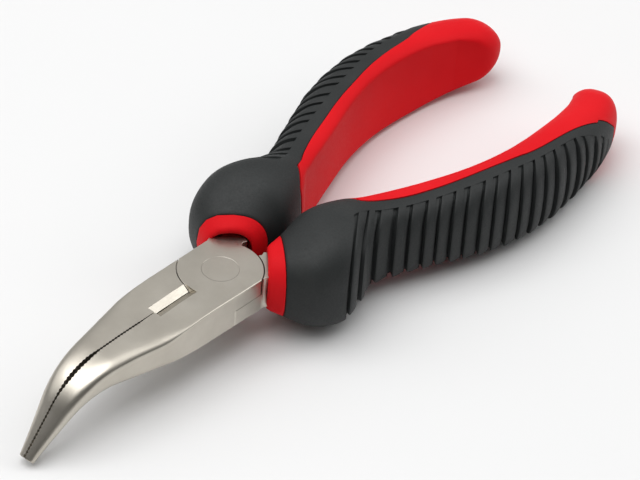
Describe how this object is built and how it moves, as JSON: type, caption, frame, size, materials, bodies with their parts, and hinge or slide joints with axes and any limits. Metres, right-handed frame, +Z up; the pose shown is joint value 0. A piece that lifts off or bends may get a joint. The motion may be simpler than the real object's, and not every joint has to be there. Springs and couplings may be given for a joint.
{
  "type": "bent needle nose pliers",
  "caption": "Bent needle nose pliers with a riveted lap joint, wire cutters at the root of the jaws, and red and black two-part grips with ribbed soft covers.",
  "frame": {"origin": "middle of the closed tool's box, on the surface that it lies on", "axes": "+Y from the jaw tips to the handle ends, +Z up from the surface, +X across to the handle that is right when the jaws point away"},
  "size_m": [0.0592, 0.1605, 0.0243],
  "materials": {
    "lever_steel": "satin ground chrome vanadium steel",
    "rivet_steel": "ground flush with the joint faces",
    "red_core": "satin moulded hard plastic",
    "black_cover": "fine matt moulded soft elastomer"
  },
  "bodies": {
    "upper_side": {"upper_lever": "lever_steel", "pivot_rivet": "rivet_steel", "left_grip_core": "red_core", "left_grip_cover": "black_cover"},
    "lower_side": {"lower_lever": "lever_steel", "right_grip_core": "red_core", "right_grip_cover": "black_cover"}
  },
  "joints": [
    {"name": "pivot", "type": "hinge", "parent": "upper_side", "child": "lower_side", "pos_m": [0, -0.02493, 0.01304], "axis": [0, -0.0414, -0.9991], "range_deg": [0, 38]}
  ]
}
